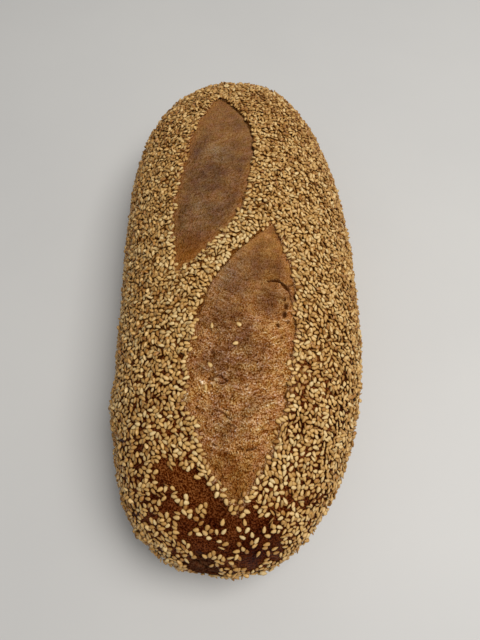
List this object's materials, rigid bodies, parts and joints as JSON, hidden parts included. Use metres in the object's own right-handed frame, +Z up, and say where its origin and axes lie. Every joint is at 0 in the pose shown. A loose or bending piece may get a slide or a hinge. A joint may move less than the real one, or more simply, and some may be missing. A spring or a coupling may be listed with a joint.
{
  "type": "sesame bread loaf",
  "caption": "Long oval hearth loaf with a flat base, a crust coated in sesame seeds and two long slashes opened along its top.",
  "frame": {"origin": "centre of the flat base, on the surface the loaf stands on", "axes": "+Z up, +Y along the loaf's length, towards the end that is far from the picture's camera"},
  "size_m": [0.1317, 0.3, 0.0756],
  "materials": {
    "crust": "baked, satin where bare, under a coat of toasted seeds",
    "crumb": "baked, matte, finely grained, where the slashes opened",
    "sesame": "toasted, smooth, faintly glossy"
  },
  "bodies": {
    "root": {"loaf": "crust"}
  },
  "joints": []
}
